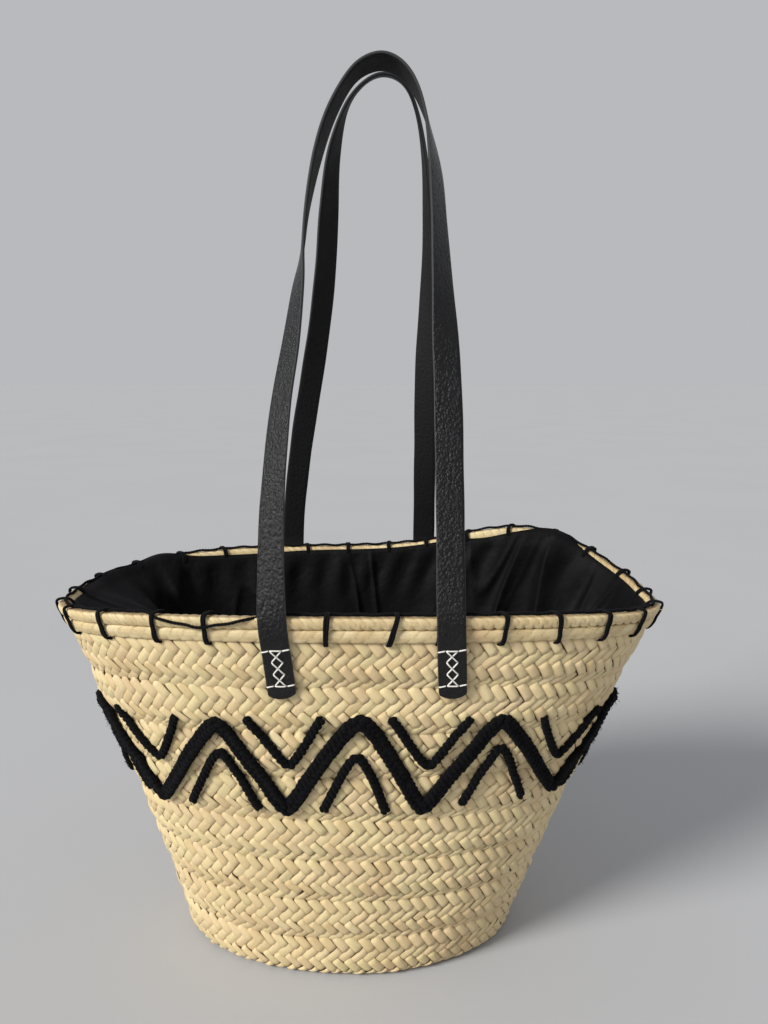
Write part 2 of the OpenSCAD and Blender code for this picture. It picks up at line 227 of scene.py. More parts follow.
def tube_faces(rows, sides, closed):
    """Quads of a tube, and a cap on each end of an open one."""
    faces = [grid_faces(rows, sides, wrap_rows=closed, wrap_columns=True)]
    if not closed:
        faces += [np.arange(sides)[::-1][None], (rows - 1) * sides + np.arange(sides)[None]]
    return faces


def tube(path, normal, radius_side, radius_out, sides, closed=False):
    """A tube of elliptical section along a path; normal is the out direction at each point."""
    ahead = headings(path, closed)
    side = unit(np.cross(normal, ahead))
    out = np.cross(ahead, side)
    turn = TURN * shares(sides)[None, :, None]
    wide, high = (np.broadcast_to(r, (len(path),))[:, None, None] for r in (radius_side, radius_out))
    ring = side[:, None] * np.cos(turn) * wide + out[:, None] * np.sin(turn) * high
    return (path[:, None] + ring).reshape(-1, 3), tube_faces(len(path), sides, closed)


def join(parts):
    """Several (points, faces) as one; faces of one size are gathered."""
    start, points, sizes = 0, [], {}
    for part_points, part_faces in parts:
        points.append(part_points)
        for f in part_faces:
            sizes.setdefault(f.shape[1], []).append(f + start)
        start += len(part_points)
    return np.vstack(points), [np.vstack(f) for f in sizes.values()]


def add_piece(thing, slot, *nodes):
    """thing rides on the basket and stands for the nodes, which are hidden. slot is not used."""
    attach(thing, "basket")
    if nodes:
        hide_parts(*nodes)
    return thing


# ---- materials ----
class Nodes:
    """A new material with its Principled shader, and short calls that add and link nodes."""

    def __init__(self, name, **values):
        self.material = bpy.data.materials.new(name)
        self.material.use_nodes = True
        self.tree = self.material.node_tree
        self.shader = self.tree.nodes["Principled BSDF"]
        for key, value in values.items():
            self.shader.inputs[key.replace("_", " ")].default_value = value

    def add(self, kind, links=None, **settings):
        node = self.tree.nodes.new(kind)
        for key, value in settings.items():
            setattr(node, key, value)
        for key, value in (links or {}).items():
            if isinstance(value, bpy.types.NodeSocket):
                self.tree.links.new(value, node.inputs[key])
            else:
                node.inputs[key].default_value = value
        return node

    def attribute(self, name):
        return self.add("ShaderNodeAttribute", attribute_name=name).outputs["Fac"]

    def fibre(self):
        return self.add("ShaderNodeAttribute", attribute_name="fibre").outputs["Vector"]

    def place(self):
        return self.add("ShaderNodeTexCoord").outputs["Object"]

    def math(self, operation, a, b=0.0, clamp=False):
        return self.add("ShaderNodeMath", {0: a, 1: b}, operation=operation, use_clamp=clamp).outputs[0]

    def stretch(self, vector, scale):
        return self.add("ShaderNodeMapping", {"Vector": vector, "Scale": scale}).outputs[0]

    def noise(self, vector, scale, detail=3.0, rough=0.55):
        links = {"Vector": vector, "Scale": scale, "Detail": detail, "Roughness": rough}
        return self.add("ShaderNodeTexNoise", links).outputs["Fac"]

    def ramp(self, factor, *stops):
        node = self.add("ShaderNodeValToRGB", {"Fac": factor})
        elements = node.color_ramp.elements
        for i, (place, colour) in enumerate(stops):
            element = elements[i] if i < 2 else elements.new(place)
            element.position = place
            element.color = (*colour, 1)
        return node.outputs["Color"]

    def fade(self, factor, low, high, to_low=0.0, to_high=1.0):
        links = {"Value": factor, "From Min": low, "From Max": high, "To Min": to_low, "To Max": to_high}
        return self.add("ShaderNodeMapRange", links).outputs[0]

    def blend(self, factor, a, b):
        a, b = ((*colour, 1) if isinstance(colour, tuple) else colour for colour in (a, b))
        return self.add("ShaderNodeMix", {0: factor, 6: a, 7: b}, data_type="RGBA").outputs[2]

    def bump(self, height, strength, distance, under=None):
        links = {"Height": height, "Strength": strength, "Distance": distance}
        if under is not None:
            links["Normal"] = under
        return self.add("ShaderNodeBump", links).outputs[0]

    def finish(self, colour=None, rough=None, normal=None):
        for key, value in (("Base Color", colour), ("Roughness", rough), ("Normal", normal)):
            if value is not None:
                self.tree.links.new(value, self.shader.inputs[key])
        return self.material


def straw_material(name, tones, stain, stain_share, crease_shade=0.5):
    """Palm leaf: fibre is [across, along, number of the strand], each -1 to 1 but the last. The strand's
    sides and tucked ends get painted shade, as where they dive under their neighbours.
    """
    n = Nodes(name, Specular_IOR_Level=0.5, Coat_Weight=0.08, Coat_Roughness=0.3)
    fibre = n.fibre()
    split = n.add("ShaderNodeSeparateXYZ", {0: fibre})
    across, along = split.outputs[0], split.outputs[1]
    fine = n.noise(n.stretch(fibre, (7, 0.5, 9)), 1.6, 4, 0.65)
    coarse = n.noise(n.stretch(fibre, (1.6, 0.35, 5)), 1.0, 2, 0.5)
    patch = n.noise(n.place(), 17, 3, 0.6)
    colour = n.ramp(n.attribute("tone"), *tones)
    colour = n.blend(n.fade(coarse, 0.35, 0.7, 0, 0.3), colour, (0.82, 0.67, 0.42))
    colour = n.blend(n.fade(fine, 0.5, 0.78, 0, 0.55), colour, (0.45, 0.32, 0.16))
    colour = n.blend(n.fade(patch, 0.5, 0.72, 0, stain_share), colour, stain)
    # painted shade: the sides and tucked ends of each strand are blended towards dark brown, standing in for
    # the shadow where they dive under their neighbours and in the rim's creases
    edge = n.fade(n.math("ABSOLUTE", across), 0.78, 1.0, 0, crease_shade)
    tip = n.fade(n.math("ABSOLUTE", along), 0.80, 1.0, 0, crease_shade)
    colour = n.blend(n.math("MAXIMUM", edge, tip), colour, (0.27, 0.17, 0.075))
    rough = n.fade(fine, 0.3, 0.7, 0.34, 0.6)
    return n.finish(colour, rough, n.bump(fine, 0.7, 0.0007))


PALE, WARM, GREEN, TAN = (0.75, 0.60, 0.32), (0.70, 0.53, 0.27), (0.71, 0.59, 0.31), (0.62, 0.46, 0.23)
BEIGE, LIGHT = (0.73, 0.56, 0.32), (0.80, 0.66, 0.38)
PLAIT_TONES = ((0.0, TAN), (1.0, LIGHT), (0.2, WARM), (0.4, BEIGE), (0.55, PALE), (0.66, GREEN), (0.78, PALE))
RIM_TONES = ((0.0, TAN), (1.0, LIGHT), (0.3, WARM), (0.65, PALE))


def yarn_material(name, colour, scale, strength, distance):
    """Spun fibre: dull and dark, with short brighter hairs."""
    n = Nodes(name, Specular_IOR_Level=0.08, Sheen_Weight=0.04, Sheen_Roughness=0.5)
    n.shader.inputs["Sheen Tint"].default_value = (0.5, 0.5, 0.55, 1)
    fibre = n.fibre()
    hair = n.noise(n.stretch(fibre, (1, 0.22, 1)), scale, 4, 0.7)
    lump = n.noise(n.place(), 210, 2, 0.5)
    brighter = tuple(3.0 * c + 0.008 for c in colour)
    tint = n.blend(n.fade(hair, 0.55, 0.85, 0, 0.7), colour, brighter)
    normal = n.bump(n.math("ADD", hair, lump), strength, distance)
    return n.finish(tint, n.fade(hair, 0.3, 0.8, 0.8, 0.95), normal)


def cotton_material():
    """Plain-woven black lining cotton: fine crossed threads over soft creases. Its colour is the cloth's own
    black made darker still, as painted shade for the inside of the basket.
    """
    n = Nodes("black_cotton", Specular_IOR_Level=0.12, Sheen_Weight=0.03, Sheen_Roughness=0.35)
    n.shader.inputs["Sheen Tint"].default_value = (0.45, 0.42, 0.5, 1)
    fibre = n.fibre()
    wave = {"Vector": fibre, "Scale": 0.55, "Distortion": 0.6}
    warp, weft = (n.add("ShaderNodeTexWave", wave, bands_direction=axis).outputs["Fac"] for axis in "XY")
    threads = n.math("MULTIPLY", warp, weft)
    crease = n.noise(n.place(), 26, 4, 0.6)
    lint = n.noise(n.place(), 900, 2, 0.5)
    # black cloth, set darker than its own colour as painted shade for the shadowed inside of the basket
    colour = n.blend(threads, (0.002, 0.002, 0.0025), (0.006, 0.0055, 0.007))
    colour = n.blend(n.fade(lint, 0.68, 0.8, 0, 0.35), colour, (0.04, 0.038, 0.04))
    normal = n.bump(threads, 0.3, 0.0002, n.bump(crease, 0.5, 0.006))
    return n.finish(colour, n.fade(crease, 0.3, 0.7, 0.55, 0.75), normal)


def leather_material():
    """Pebbled black leather; edge marks the lighter cut sides, flesh the matt inner side."""
    n = Nodes("black_leather", Specular_IOR_Level=0.32)
    fibre = n.fibre()
    edge, flesh = n.attribute("edge"), n.attribute("flesh")
    cells = {"Vector": n.stretch(fibre, (1.0, 0.72, 1)), "Scale": 0.62, "Randomness": 1.0}
    cell = n.add("ShaderNodeTexVoronoi", cells, feature="SMOOTH_F1").outputs["Distance"]
    grain = n.noise(fibre, 2.6, 3, 0.6)
    worn = n.noise(fibre, 0.05, 3, 0.6)
    pebbles = n.math("ADD", n.math("MULTIPLY", cell, -1.0), n.math("MULTIPLY", grain, 0.35))
    colour = n.blend(n.fade(cell, 0.25, 0.75), (0.005, 0.005, 0.006), (0.002, 0.002, 0.0025))
    colour = n.blend(n.fade(worn, 0.5, 0.75, 0, 0.5), colour, (0.010, 0.010, 0.012))
    colour = n.blend(n.math("MULTIPLY", flesh, 0.85), colour, (0.004, 0.0035, 0.004))
    colour = n.blend(n.math("MULTIPLY", edge, 0.8), colour, (0.05, 0.05, 0.054))
    rough = n.math("ADD", n.fade(worn, 0.35, 0.7, 0.27, 0.38), n.math("MULTIPLY", flesh, 0.4))
    rough = n.math("ADD", rough, n.math("MULTIPLY", edge, 0.25))
    strength = n.math("SUBTRACT", 1.0, n.math("MULTIPLY", n.math("ADD", edge, flesh), 0.6), clamp=True)
    return n.finish(colour, rough, n.bump(pebbles, strength, 0.0009))


def thread_material():
    n = Nodes("waxed_thread", Specular_IOR_Level=0.5, Coat_Weight=0.2, Coat_Roughness=0.3)
    twist = n.noise(n.stretch(n.fibre(), (1, 0.4, 1)), 3.0, 2, 0.5)
    colour = n.blend(twist, (0.70, 0.67, 0.60), (0.90, 0.88, 0.83))
    return n.finish(colour, n.fade(twist, 0.3, 0.7, 0.35, 0.5), n.bump(twist, 0.4, 0.0002))


def mottled_material(name, scale, detail, uneven, low, high, rough):
    """A dull surface whose colour drifts between two tones."""
    n = Nodes(name, Specular_IOR_Level=0.1, Roughness=rough)
    return n.finish(n.ramp(n.noise(n.place(), scale, detail, uneven), (0.3, low), (0.7, high)))


def cord_material():
    """Twisted palm cord; it is almost buried in the seams."""
    n = Nodes("palm_cord", Specular_IOR_Level=0.2)
    twist = n.noise(n.stretch(n.place(), (1, 1, 3)), 420, 3, 0.6)
    colour = n.ramp(twist, (0.3, (0.36, 0.26, 0.13)), (0.7, (0.62, 0.50, 0.30)))
    return n.finish(colour, None, n.bump(twist, 0.4, 0.0004))


STRAW = straw_material("palm_plait", PLAIT_TONES, (0.52, 0.35, 0.18), 0.5)
# the rim's creases and the top and bottom of each roll take stronger painted shade than the plait
RIM_STRAW = straw_material("palm_rim", RIM_TONES, (0.42, 0.25, 0.12), 0.7, 0.95)
WOOL = yarn_material("black_wool", (0.004, 0.004, 0.005), 2.4, 0.9, 0.0016)
RIM_YARN = yarn_material("black_yarn", (0.005, 0.005, 0.006), 2.6, 0.7, 0.0008)
COTTON = cotton_material()
LEATHER = leather_material()
THREAD = thread_material()
# painted shade: the inside of the plait, seen through the gaps between strands, is coloured dark brown for
# the shadow it lies in
PAINTED_SHADE_INSIDE = mottled_material("plait_inside_painted_shade", 160, 3, 0.6, (0.10, 0.062, 0.026), (0.22, 0.145, 0.065), 0.9)
FLOOR = mottled_material("studio_floor", 2.0, 2, 0.5, (0.455, 0.46, 0.475), (0.47, 0.475, 0.49), 0.8)

# ---- the plait: every strand that shows is one crowned patch with its ends tucked under its neighbours ----
STRAND = 6.7  # width of a strand
PITCH = STRAND * math.sqrt(2)  # distance between strands
ROW_EDGES = (-0.02, 0.19, 0.46, 0.73, 1.03)  # rows of one course
ROW_CROWN = (1.3, 2.1, 1.5, 2.2)
ROW_LEAN = (1, -1, 1, -1)  # 1 leans like /, -1 like \
ALONG = np.array([-1, -0.93, -0.86, -0.78, -0.45, 0, 0.45, 0.78, 0.86, 0.93, 1])  # places of a patch's points
ACROSS = np.array([-1, -0.86, -0.6, -0.2, 0.2, 0.6, 0.86, 1])
TUCK = 1.17  # length of a patch against the length that shows
TUCK_FROM, TUCK_DEPTH = 0.74, 2.4  # its ends dive under their neighbours
STRAND_FILL = 1.05
LOW_FILL, LOW_CROWN = 0.82, 2.4  # the lowest row of all is like a cord
FOOT, FOOT_ROUNDING = 6.0, 4.8  # the wall rounds into the floor
FOOT_CLEAR = 0.8  # height of the strands above the ground
STRAND_SEAT, BACKING_SEAT = 1.5, 2.1  # how far in the strands and backing lie


def strand_patches(count, lean, crown, fill):
    """Local places [right, up] and heights of `count` patches, and their fibre coordinates and tones."""
    a, c = np.meshgrid(ALONG, ACROSS, indexing="ij")
    a, c = a[None], c[None]

    def vary(spread):
        return RNG.normal(0, spread, (count, 1, 1))

    ahead = a * STRAND * TUCK * (1 + vary(0.03))
    side = c * STRAND / 2 * fill * (1 + vary(0.03) + vary(0.02) * a)
    turn = math.radians(45) * lean + np.radians(vary(2.0)) + 0.05 * lean * a * a
    right = ahead * np.cos(turn) - side * np.sin(turn) + vary(0.2)
    up = ahead * np.sin(turn) + side * np.cos(turn) + vary(0.2)
    top = crown * (1 + vary(0.15))
    height = top * (1 - 0.72 * np.abs(c) ** 2.2) * (1 - 0.22 * a * a)
    height = height - TUCK_DEPTH * smooth((np.abs(a) - TUCK_FROM) / (1 - TUCK_FROM))
    height = height + vary(0.16) + vary(0.24) * c + 0.09 * np.sin(3.4 * c + vary(2.0))
    fibre = columns(c, a, RNG.uniform(0, 60, (count, 1, 1)))
    tone = np.broadcast_to(RNG.beta(2.6, 2.2, (count, 1, 1)), height.shape)
    return right, up, height, fibre, tone


def patch_faces(count):
    one = grid_faces(len(ALONG), len(ACROSS))
    return (one[None] + np.arange(count)[:, None, None] * len(ALONG) * len(ACROSS)).reshape(-1, 4)


def course_profile(v):
    """How far a course stands out of the wall's line, from its lower seam (0) to its upper seam (1)."""
    return BELLY * np.sin(math.pi * np.clip(v, 0, 1)) ** 0.6 - SEAM_DEPTH


def plaited_rows(place, length, edges, crowns, leans, first_fill=STRAND_FILL):
    """Rows of patches between the edges. place(share, v, height) gives points; length is the way round."""
    count = round(length / PITCH)
    points, fibres, tones = [], [], []
    for i, lean in enumerate(leans):
        low, high = edges[i], edges[i + 1]
        fill = STRAND_FILL if i else first_fill
        right, up, height, fibre, tone = strand_patches(count, lean, crowns[i], fill)
        middle = ((np.arange(count) + 0.5 * (i % 2)) / count)[:, None, None]
        share = middle + right / (PITCH * count)
        v = (low + high) / 2 + up * (high - low) / PITCH
        drift = 0.35 * np.sin(TURN * share * 7 + i) * RNG.uniform(0.2, 1)
        points.append(place(share, v, height + drift).reshape(-1, 3))
        fibres.append(fibre.reshape(-1, 3))
        tones.append(tone.ravel())
    faces = patch_faces(count * len(leans))
    return np.vstack(points), faces, np.vstack(fibres), np.concatenate(tones)


def plait_piece(name, node, rows, backing):
    """Rows of strands over a closed ring coloured dark as painted shade, in one mesh with a material for
    each.
    """
    points, faces, fibre, tone = rows
    thing = make_mesh(name, points, faces, STRAW, {"fibre": fibre, "tone": tone})
    ring = make_mesh(name + "_backing", backing, grid_faces(*backing.shape[:2], True, True), STRAW)
    for part in (thing, ring):
        part.data.materials.append(PAINTED_SHADE_INSIDE)
    ring.data.polygons.foreach_set("material_index", np.full(len(ring.data.polygons), 1, np.int32))
    with bpy.context.temp_override(active_object=thing, selected_editable_objects=[thing, ring],
                                   selected_objects=[thing, ring], object=thing):
        bpy.ops.object.join()
    return add_piece(thing, "palm_plait", node)


def wall_course(k):
    """Course k of the wall, counted from 0 at the floor."""
    low = k * COURSE_RISE
    table = walk(lambda a: wall(a, low + COURSE_RISE / 2))
    wave = RNG.uniform(0, TURN, 3)

    def place(share, v, height):
        wobble = 0.010 * np.sin(6 * math.pi * share + wave[0])
        wobble = wobble + 0.008 * np.sin(10 * math.pi * share + wave[1])
        out = course_profile(v) - STRAND_SEAT + height + 0.45 * np.sin(8 * math.pi * share + wave[2])
        u = low + (v + wobble * np.sin(math.pi * np.clip(v, 0, 1))) * COURSE_RISE
        if k == 0:
            z = u * RIM_HEIGHT
            rounding = FOOT_ROUNDING * np.clip(1 - z / FOOT, 0, 1) ** 2
            out = out - rounding - np.clip(FOOT_CLEAR - z, 0, None)
            u = np.maximum(z, FOOT_CLEAR - 0.7 * np.clip(height, 0, 1)) / RIM_HEIGHT
        return wall(angle_at(share, table), u, out)

    crowns = (LOW_CROWN, *ROW_CROWN[1:]) if k == 0 else ROW_CROWN
    fill = LOW_FILL if k == 0 else STRAND_FILL
    rows = plaited_rows(place, table[2], ROW_EDGES, crowns, ROW_LEAN, fill)
    angles = 360 * shares(160)
    v = np.array([0.02, 0.25, 0.5, 0.75, 0.98, 0.98, 0.5, 0.02])
    out = course_profile(v) - BACKING_SEAT
    out[5:] = -PLAIT + 0.2
    u = low + v * COURSE_RISE
    if k == 0:
        u[0] = u[7] = 1.5 / RIM_HEIGHT
        out[0] -= 3.0
    plait_piece(f"plait_course_{k + 1}", f"wall_course_{k + 1}", rows, wall(angles[:, None], u, out))


def floor_oval(angle, inset, z):
    points = wall(angle, 0.0, -np.asarray(inset, float))
    points[..., 2] = z
    return points


FLOOR_INSET = 5.8
FLOOR_COURSE = 26.0  # width of the two outer ovals
FLOOR_HALF = 70.0  # half the floor's width
FLOOR_MIDDLE = 79.5  # inset of its middle line
FLOOR_UNDERSIDE = 2.6
FLOOR_BACKING = (3.4, 5.4)
FLOOR_NODES = ("base_course_2", "base_course_1", "base_centre")


def floor_course(i):
    """One oval of the floor, counted from the outside; its strands face down."""
    outer = FLOOR_INSET + i * FLOOR_COURSE
    width = FLOOR_COURSE if i < 2 else FLOOR_HALF - 2 * FLOOR_COURSE
    count = 3 if i < 2 else 2
    edges = tuple(j / count for j in range(count + 1))
    table = walk(lambda a: floor_oval(a, outer + width / 2, 0.0))

    def place(share, v, height):
        inset = np.clip(outer + v * width, FLOOR_INSET - 2, FLOOR_MIDDLE - 1.5)
        return floor_oval(angle_at(share, table), inset, FLOOR_UNDERSIDE - np.clip(height, -1.5, 2.2))

    rows = plaited_rows(place, table[2], edges, (1.7, 1.4, 1.7)[:count], ROW_LEAN[:count])
    angles = 360 * shares(96)
    inner = outer + width if i < 2 else FLOOR_MIDDLE
    inset = np.array([outer, inner, inner, outer])
    ring = floor_oval(angles[:, None], inset[None], np.repeat(FLOOR_BACKING, 2))
    plait_piece(f"floor_plait_{3 - i}", FLOOR_NODES[i], rows, ring)


# ---- the rim ----
ROLL_STEPS, ROLL_SIDES = 2600, 18


def rim_roll(name, u0, u1, inside, outside, pitch, depth, twist, node):
    """A row of the rim: a closed roll with slanting creases where one wrapped strand follows the last."""
    turns = round(RIM_WALK[2] / pitch)
    share = shares(ROLL_STEPS)[:, None]
    round_angle = TURN * shares(ROLL_SIDES)[None]
    lobe_place = turns * share + twist * round_angle / (TURN) + 0.25 * np.sin(TURN * 9 * share)
    lobe = np.floor(lobe_place)
    inside_lobe = lobe_place - lobe
    strength = RNG.uniform(0.5, 1.4, turns + 6)[lobe.astype(int) % (turns + 6)]
    lower = 0.35 + 0.65 * np.clip(-np.sin(round_angle), 0, 1)
    crease = 1 - depth * lower * strength * (1 - np.sin(math.pi * inside_lobe) ** 0.35)
    lump = 1 + 0.04 * np.sin(TURN * 23 * share + 1.3) + 0.03 * np.sin(TURN * 57 * share)
    half_u, half_out = (u1 - u0) / 2, (outside - inside) / 2
    u = (u0 + u1) / 2 + half_u * signed_power(np.sin(round_angle), 0.7) * crease
    out = (inside + outside) / 2 + half_out * signed_power(np.cos(round_angle), 0.6) * crease * lump
    points = wall(angle_at(share, RIM_WALK), u, out)
    # across runs over each wrapped strand and along runs round the roll, so the straw's painted shade darkens
    # the creases and the roll's top and bottom
    fibre = columns(2 * inside_lobe - 1, 0.96 * np.sin(round_angle), lobe * 1.7)
    tone = RNG.beta(2.2, 1.8, turns + 6)[lobe.astype(int) % (turns + 6)]
    faces = grid_faces(ROLL_STEPS, ROLL_SIDES, True, True)[:, ::-1]
    thing = make_mesh(name, points, faces, RIM_STRAW, {"fibre": fibre, "tone": tone})
    return add_piece(thing, "palm_rim", node)


def yarn_fibre(points, count, sides):
    """Fibre coordinates round and along a tube in millimetres, set apart from other tubes by count."""
    along = travelled(points[::sides])
    turn = TURN * shares(sides)
    return columns(1.5 * np.cos(turn), along[:, None], 1.5 * np.sin(turn) + count).reshape(-1, 3)


def tubes_piece(name, tubes, material, slot, node, rough=0.0):
    """One piece from several (path, normal, side radius, out radius, sides, closed)."""
    parts, fibres = [], []
    for i, (path, normal, radius_side, radius_out, sides, closed) in enumerate(tubes):
        points, faces = tube(path, normal, radius_side, radius_out, sides, closed)
        fibres.append(yarn_fibre(points, i * 9.0, sides))
        parts.append((points + RNG.normal(0, 1, points.shape) * rough, faces))
    points, faces = join(parts)
    thing = make_mesh(name, points, faces, material, {"fibre": np.vstack(fibres)})
    return add_piece(thing, slot, node)


def resample(knots, count):
    """A smooth curve through the knots (Catmull-Rom), as `count` points."""
    knots = np.asarray(knots, float)
    ends = np.vstack([2 * knots[0] - knots[1], knots, 2 * knots[-1] - knots[-2]])
    v = np.linspace(0, len(knots) - 1, count)
    i = np.minimum(v.astype(int), len(knots) - 2)
    t = (v - i)[:, None]
    a, b, c, d = ends[i], ends[i + 1], ends[i + 2], ends[i + 3]
    return b + (c - a) * t / 2 + (2 * a - 5 * b + 4 * c - d) * t**2 / 2 + (3 * b - a - 3 * c + d) * t**3 / 2


# a whip stitch in its own plane: [out of the wall, up from the rim's edge]
WHIP_PATH = [
    (-0.5, -19.5), (2.6, -18.4), (4.0, -14), (3.9, -9.5), (4.2, -4.5), (3.3, 0.4),
    (0.2, 1.9), (-3.6, 2.0), (-6.0, 1.2), (-7.6, -1), (-7.8, -4), (-7.0, -7)]
WHIP_STEPS = 40
# hand sewing is uneven: how far these stitches stand to the right of an even spacing, and their slant
WHIP_SHIFT = {0: 8.0, 2: 4.0, 3: 2.5, 4: 2.5, 24: -8.0, 25: -8.0, 26: -3.0, 27: -5.0}
WHIP_SLANT = {0: 5.0, 28: 2.0, 3: -1.5}


def under_strap(place):
    """Whether a place on the rim lies behind one of the straps."""
    route = FRONT_ROUTE if place[1] < 0 else BACK_ROUTE
    return any(abs(place[0] - route[end][0]) < STRAP_WIDTH * 0.75 for end in (0, -1)) and abs(place[1]) > 90


def rim_stitches():
    """Whip stitches of doubled yarn over both rows of the rim; they lie flat under the straps."""
    tubes = []
    for i in range(WHIP_STITCHES):
        share = (i + 0.5) / WHIP_STITCHES + WHIP_SHIFT.get(i, RNG.normal(0, 1.5)) / RIM_WALK[2]
        angle = float(angle_at(np.array(share), RIM_WALK))
        path = resample(WHIP_PATH, WHIP_STEPS)
        middle, ahead = wall(angle, 1.0), unit(wall(angle + 0.3, 1.0) - wall(angle - 0.3, 1.0))
        flat = under_strap(middle)
        out = path[:, 0] - (1.3 if flat else 0) * (path[:, 0] > 0)
        u = 1 + path[:, 1] / RIM_HEIGHT
        upright = (middle - wall(angle, u)) @ ahead
        slant = WHIP_SLANT.get(i, RNG.normal(0, 0.9)) * path[:, 1] / RIM_ROWS
        for strand in (-1, 1):
            apart = strand * (0.8 + 0.2 * np.sin(0.25 * np.arange(WHIP_STEPS) + i))
            angles = angle_at(share + (upright + slant + apart) / RIM_WALK[2], RIM_WALK)
            line = wall(angles, u, out)
            across = unit(wall(angles + 0.3, u, out) - wall(angles - 0.3, u, out))
            normal = unit(np.cross(np.gradient(line, axis=0), across))
            tubes.append((line, normal, 1.1 + RNG.normal(0, 0.06), 0.6 if flat else 0.95, 8, False))
    return tubes_piece("whip_stitches", tubes, RIM_YARN, "black_yarn", "rim_stitches")


YARN_STEPS, YARN_TWISTS = 1300, 420
LOOSE_X, LOOSE_HALF = -106, 40  # here the yarn hangs out over the roll


def rim_yarn():
    """The running yarn on the rim's inner edge, of two twisted plies."""
    share = shares(YARN_STEPS)
    angles = angle_at(share, RIM_WALK)
    x, y = wall(angles, 1.0)[:, :2].T
    loose = np.clip(1.12 - np.abs(x - LOOSE_X) / LOOSE_HALF, 0, 1) * (y < 0)
    out = -3.6 + 0.5 * np.sin(TURN * share * WHIP_STITCHES) + 8.2 * smooth(loose * 2.2)
    rise = 1.3 + 0.35 * np.sin(TURN * share * WHIP_STITCHES * 2 + 1) - 7.5 * loose
    line = wall(angles, 1 + rise / RIM_HEIGHT, out)
    ahead = headings(line, True)
    normal = unit(np.cross(ahead, unit(wall(angles, 1.0, 1) - wall(angles, 1.0, 0))))
    lay = TURN * share * YARN_TWISTS
    across = unit(np.cross(normal, ahead))
    tubes = []
    for phase in (0, math.pi):
        ply = line + 0.5 * (np.cos(lay + phase)[:, None] * across + np.sin(lay + phase)[:, None] * normal)
        tubes.append((ply, normal, 0.85, 0.85, 7, True))
    return tubes_piece("running_yarn", tubes, RIM_YARN, "black_yarn", "rim_yarn")


# ---- embroidery ----
ZIGZAGS = 10
PEAK, TROUGH = 0.742, 0.502  # shares of the height
SHARPNESS = 0.975  # 0 is a wave, 1 a zigzag with sharp corners
PATTERN_TURN = 0.0025
FRONT_SPREAD = 0.03  # the zigzags are wider at the front
BRAID_LIFT, CORD_LIFT = 2.3, 1.9  # how far they stand out
BRAID_HAIRS, CORD_HAIRS = 1500, 70
EMBROIDERY_WALK = walk(lambda a: wall(a, (PEAK + TROUGH) / 2))
# the sewing is uneven. Corners of the zigzag, counted from the peak at the front, and how many millimetres
# each stands to the right of an even pattern and above it
ZIGZAG_CORNERS = (-3.0, -2.0, -1.5, -1.0, -0.5, 0.0, 0.5, 1.0, 1.5, 2.0, 3.0)
CORNER_SHIFT = (0.0, -9.0, -11.0, 7.5, -3.5, 2.0, 4.0, -5.5, 16.0, 12.0, 0.0)
CORNER_RISE = (0.0, 0.0, 1.6, -3.5, 3.0, 0.8, 4.0, -1.2, 7.0, 0.0, 0.0)
# the same for chevrons: first end, point and last end to the right, and the whole of it up
UPPER_UNEVEN = {8: (-3.0, -2.0, -2.0, -0.5), 9: (4.0, 1.0, 0.0, 2.8), 0: (-5.0, 0.0, -6.5, 2.6),
                1: (1.5, 3.5, 3.5, 0.0)}
LOWER_UNEVEN = {9: (-8.5, 5.5, 1.0, -0.5), 0: (-1.5, 0.5, 3.0, -0.5), 1: (7.5, 0.5, 12.5, 2.3)}


def zigzag_share(count):
    s = count / ZIGZAGS
    return PATTERN_TURN + s + FRONT_SPREAD / ZIGZAGS * np.sin(4 * math.pi * s)


def zigzag_level(count):
    wave = np.arcsin(SHARPNESS * np.cos(TURN * count)) / math.asin(SHARPNESS)
    return mix(TROUGH, PEAK, 0.5 + 0.5 * wave)


def chevron_level(offset, half, point, ends):
    r = 0.035
    return mix(point, ends, (np.hypot(offset, r) - r) / (math.hypot(half, r) - r))


def laid_frame(share, level, lift):
    """The line of a cord laid on the plait, and the direction out of the wall along it."""
    angles = angle_at(share, EMBROIDERY_WALK)
    v = np.mod(level / COURSE_RISE, 1)
    return on_wall(angles, level, 0.5 * course_profile(v) + lift)


def even(share, level, spacing, closed):
    """The same line with points at an even spacing in millimetres."""
    gone = travelled(wall(angle_at(share, EMBROIDERY_WALK), level))
    count = max(8, round(gone[-1] / spacing))
    at = np.linspace(0, gone[-1], count, endpoint=not closed)
    return np.interp(at, gone, share), np.interp(at, gone, level), at, gone[-1]


def plies(line, normal, at, whole, count, spread, depth, wave, radius, closed):
    """Strands of a braid (three, crossing in a figure of eight) or a twisted cord (two)."""
    side = unit(np.cross(normal, headings(line, closed)))
    turns = max(1, round(whole / wave))
    tubes = []
    for i in range(count):
        phase = TURN * (turns * at / whole + i / count)
        across = spread * np.sin(phase)
        lift = depth * (np.sin(2 * phase) if count == 3 else np.cos(phase))
        path = line + side * across[:, None] + normal * lift[:, None]
        thick = radius * (1 + 0.05 * np.sin(at * 0.9 + i))
        if not closed:
            thick = thick * np.clip(0.35 + np.minimum(at, whole - at) / 2.2, 0, 1)
        tubes.append((path, normal, thick, thick * 0.92, 8, closed))
    return tubes


def hair(line, normal, half_width):
    """One loose hair of the wool, springing from a place on a cord's line."""
    i = RNG.integers(1, len(line) - 1)
    side = unit(np.cross(normal[i], line[i + 1] - line[i - 1]))
    start = line[i] + side * RNG.uniform(-1, 1) * half_width * 0.8
    heading = side * RNG.normal(0, 1) + (line[i + 1] - line[i - 1]) * RNG.normal(0, 0.6)
    heading = unit(heading + 0.4 * normal[i])
    t = np.linspace(0, 1, 4)[:, None]
    path = start + normal[i] * (1.2 + 1.4 * np.sin(2 * t)) + heading * t * RNG.uniform(1.5, half_width)
    return path, np.tile(normal[i], (4, 1)), 0.11, 0.11, 3, False


